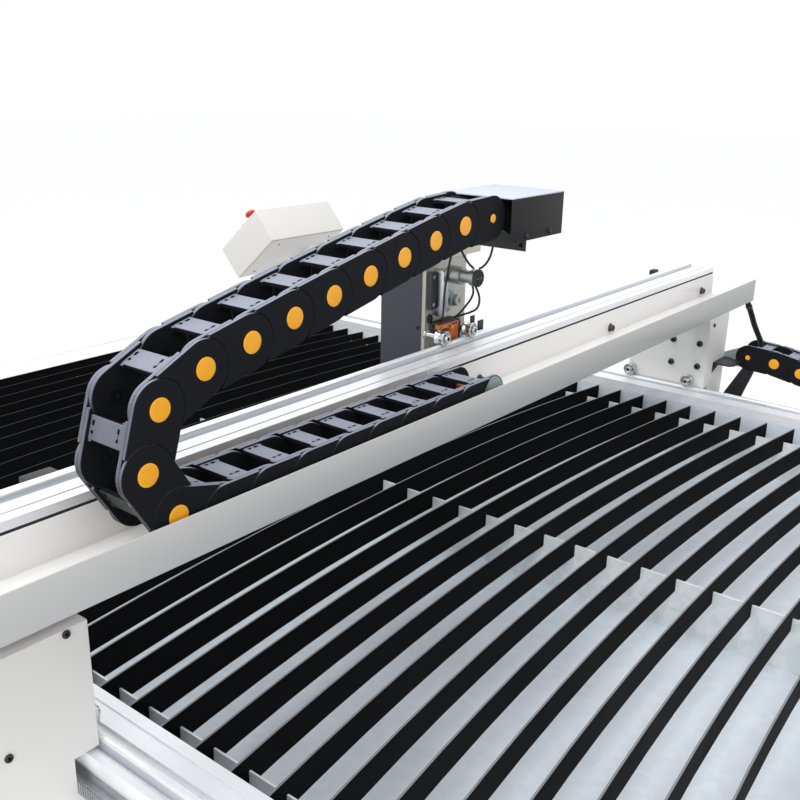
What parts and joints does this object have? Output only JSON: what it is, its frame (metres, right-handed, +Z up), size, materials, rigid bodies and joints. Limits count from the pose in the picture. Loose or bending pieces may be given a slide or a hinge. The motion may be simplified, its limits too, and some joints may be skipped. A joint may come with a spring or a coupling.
{
  "type": "cnc plasma cutting table",
  "caption": "CNC plasma cutting table: slatted bed with a driven gantry, a torch carriage with height control, cable chains in trays and a tilted operator console.",
  "frame": {"origin": "on the floor under the middle of the whole machine's footprint at rest", "axes": "+X along the gantry's travel, towards the side the cable chain tray faces; +Y across the bed along the beam, towards the side cable chain; +Z up"},
  "size_m": [3.632, 2.675, 1.3968],
  "materials": {
    "black_plastic": "matt",
    "bright_metal": "machined",
    "bright_steel": "ground",
    "cable_rubber": "matt",
    "cap_plastic": "satin",
    "chain_plastic": "matt",
    "dark_metal": "satin",
    "extrusion": "anodised",
    "foot_steel": "satin",
    "galvanised": "satin",
    "green_plastic": "gloss",
    "grey_paint": "satin",
    "pan_steel": "dark",
    "plate_metal": "satin",
    "red_plastic": "gloss",
    "screen_glass": "gloss",
    "slat_steel": "mill scale with bare edges",
    "white_paint": "satin"
  },
  "bodies": {
    "bed": {"bed_frame": "white_paint", "levelling_feet": "foot_steel", "slag_pan": "pan_steel", "bearers": "galvanised", "slats": "slat_steel", "rail_profiles": "extrusion", "rail_rods": "bright_steel", "rail_racks": "bright_metal", "side_chain_trough": "galvanised", "side_chain_lower": "chain_plastic", "console_arm": "white_paint", "console_box": "white_paint", "console_back": "white_paint", "console_screen": "screen_glass"},
    "estop": {"estop_button": "red_plastic"},
    "start": {"start_button": "green_plastic"},
    "stop": {"stop_button": "red_plastic"},
    "side_bend": {"side_chain_bend": "chain_plastic"},
    "gantry": {"beam_tube": "white_paint", "beam_profile": "extrusion", "beam_rod": "bright_steel", "beam_rack": "bright_metal", "end_box_right": "white_paint", "end_box_left": "white_paint", "chain_tray": "white_paint", "gantry_axles": "bright_metal", "chain_anchor": "galvanised", "beam_stops": "black_plastic", "side_chain_bracket": "galvanised", "side_chain_upper": "chain_plastic", "gantry_cables": "cable_rubber", "drive_motors": "dark_metal", "chain_links_lower": "chain_plastic", "chain_caps_lower": "cap_plastic"},
    "roller_front_right": {"gantry_roller_front_right": "bright_steel"},
    "roller_rear_right": {"gantry_roller_rear_right": "bright_steel"},
    "roller_front_left": {"gantry_roller_front_left": "bright_steel"},
    "roller_rear_left": {"gantry_roller_rear_left": "bright_steel"},
    "pinion_right": {"drive_pinion_right": "bright_metal"},
    "pinion_left": {"drive_pinion_left": "bright_metal"},
    "chain_bend": {"chain_links_bend": "chain_plastic", "chain_caps_bend": "cap_plastic"},
    "carriage": {"carriage_plate": "plate_metal", "carriage_cover": "grey_paint", "carriage_axles": "bright_metal", "carriage_motor": "dark_metal", "lift_gearbox": "bright_metal", "lift_motor": "bright_metal", "limit_switches": "black_plastic", "chain_hood": "white_paint", "hood_bracket": "white_paint", "carriage_cables": "cable_rubber", "chain_links_upper": "chain_plastic", "chain_caps_upper": "cap_plastic", "lift_rail": "bright_metal"},
    "carriage_roller_low": {"carriage_roller_near": "bright_steel"},
    "carriage_roller_high": {"carriage_roller_far": "bright_steel"},
    "carriage_drive": {"carriage_pinion": "bright_metal"},
    "lifter": {"torch_holder": "dark_metal", "torch": "black_plastic"}
  },
  "joints": [
    {"name": "gantry_slide", "type": "slide", "parent": "bed", "child": "gantry", "axis": [1, 0, 0], "range_m": [-1.3, 1.44], "deforming": ["side_chain_upper", "side_chain_lower"]},
    {"name": "carriage_slide", "type": "slide", "parent": "gantry", "child": "carriage", "axis": [0, 1, 0], "range_m": [-0.7, 0.808], "deforming": ["chain_links_upper", "chain_caps_upper", "chain_links_lower", "chain_caps_lower"]},
    {"name": "torch_lift", "type": "slide", "parent": "carriage", "child": "lifter", "axis": [0, 0, 1], "range_m": [-0.045, 0.06]},
    {"name": "chain_bend_slide", "type": "slide", "parent": "gantry", "child": "chain_bend", "axis": [0, 1, 0], "range_m": [-0.35, 0.404]},
    {"name": "side_chain_bend_slide", "type": "slide", "parent": "bed", "child": "side_bend", "axis": [1, 0, 0], "range_m": [-0.65, 0.72]},
    {"name": "roller_front_right_spin", "type": "hinge", "parent": "gantry", "child": "roller_front_right", "pos_m": [0.01204, 0.9425, 0.8053], "axis": [0, 1, 0], "continuous": true},
    {"name": "roller_front_left_spin", "type": "hinge", "parent": "gantry", "child": "roller_front_left", "pos_m": [0.01204, -0.8975, 0.8053], "axis": [0, 1, 0], "continuous": true},
    {"name": "roller_rear_right_spin", "type": "hinge", "parent": "gantry", "child": "roller_rear_right", "pos_m": [-0.15196, 0.9425, 0.8053], "axis": [0, 1, 0], "continuous": true},
    {"name": "roller_rear_left_spin", "type": "hinge", "parent": "gantry", "child": "roller_rear_left", "pos_m": [-0.15196, -0.8975, 0.8053], "axis": [0, 1, 0], "continuous": true},
    {"name": "pinion_right_spin", "type": "hinge", "parent": "gantry", "child": "pinion_right", "pos_m": [-0.05496, 0.9998, 0.74], "axis": [0, 0, 1], "continuous": true},
    {"name": "pinion_left_spin", "type": "hinge", "parent": "gantry", "child": "pinion_left", "pos_m": [-0.05496, -0.9548, 0.74], "axis": [0, 0, 1], "continuous": true},
    {"name": "carriage_roller_low_spin", "type": "hinge", "parent": "carriage", "child": "carriage_roller_low", "pos_m": [-0.01396, -0.1382, 1.131], "axis": [1, 0, 0], "continuous": true},
    {"name": "carriage_roller_high_spin", "type": "hinge", "parent": "carriage", "child": "carriage_roller_high", "pos_m": [-0.01396, -0.0561, 1.131], "axis": [1, 0, 0], "continuous": true},
    {"name": "carriage_drive_spin", "type": "hinge", "parent": "carriage", "child": "carriage_drive", "pos_m": [-0.03196, -0.0525, 1.0507], "axis": [1, 0, 0], "continuous": true},
    {"name": "estop_push", "type": "slide", "parent": "bed", "child": "estop", "axis": [0.6561, 0, -0.7547], "range_m": [0, 0.006], "stiffness_N_per_m": 500},
    {"name": "start_push", "type": "slide", "parent": "bed", "child": "start", "axis": [0.6561, 0, -0.7547], "range_m": [0, 0.003], "stiffness_N_per_m": 500},
    {"name": "stop_push", "type": "slide", "parent": "bed", "child": "stop", "axis": [0.6561, 0, -0.7547], "range_m": [0, 0.003], "stiffness_N_per_m": 500}
  ],
  "couplings": [
    {"joint": "chain_bend_slide", "follows": "carriage_slide", "ratio": 0.5},
    {"joint": "side_chain_bend_slide", "follows": "gantry_slide", "ratio": 0.5},
    {"joint": "roller_front_right_spin", "follows": "gantry_slide", "rad_per_m": 69.93},
    {"joint": "roller_front_left_spin", "follows": "gantry_slide", "rad_per_m": 69.93},
    {"joint": "roller_rear_right_spin", "follows": "gantry_slide", "rad_per_m": 69.93},
    {"joint": "roller_rear_left_spin", "follows": "gantry_slide", "rad_per_m": 69.93},
    {"joint": "pinion_right_spin", "follows": "gantry_slide", "rad_per_m": -66.667},
    {"joint": "pinion_left_spin", "follows": "gantry_slide", "rad_per_m": 66.667},
    {"joint": "carriage_roller_low_spin", "follows": "carriage_slide", "rad_per_m": -90.909},
    {"joint": "carriage_roller_high_spin", "follows": "carriage_slide", "rad_per_m": -90.909},
    {"joint": "carriage_drive_spin", "follows": "carriage_slide", "rad_per_m": 66.667}
  ]
}
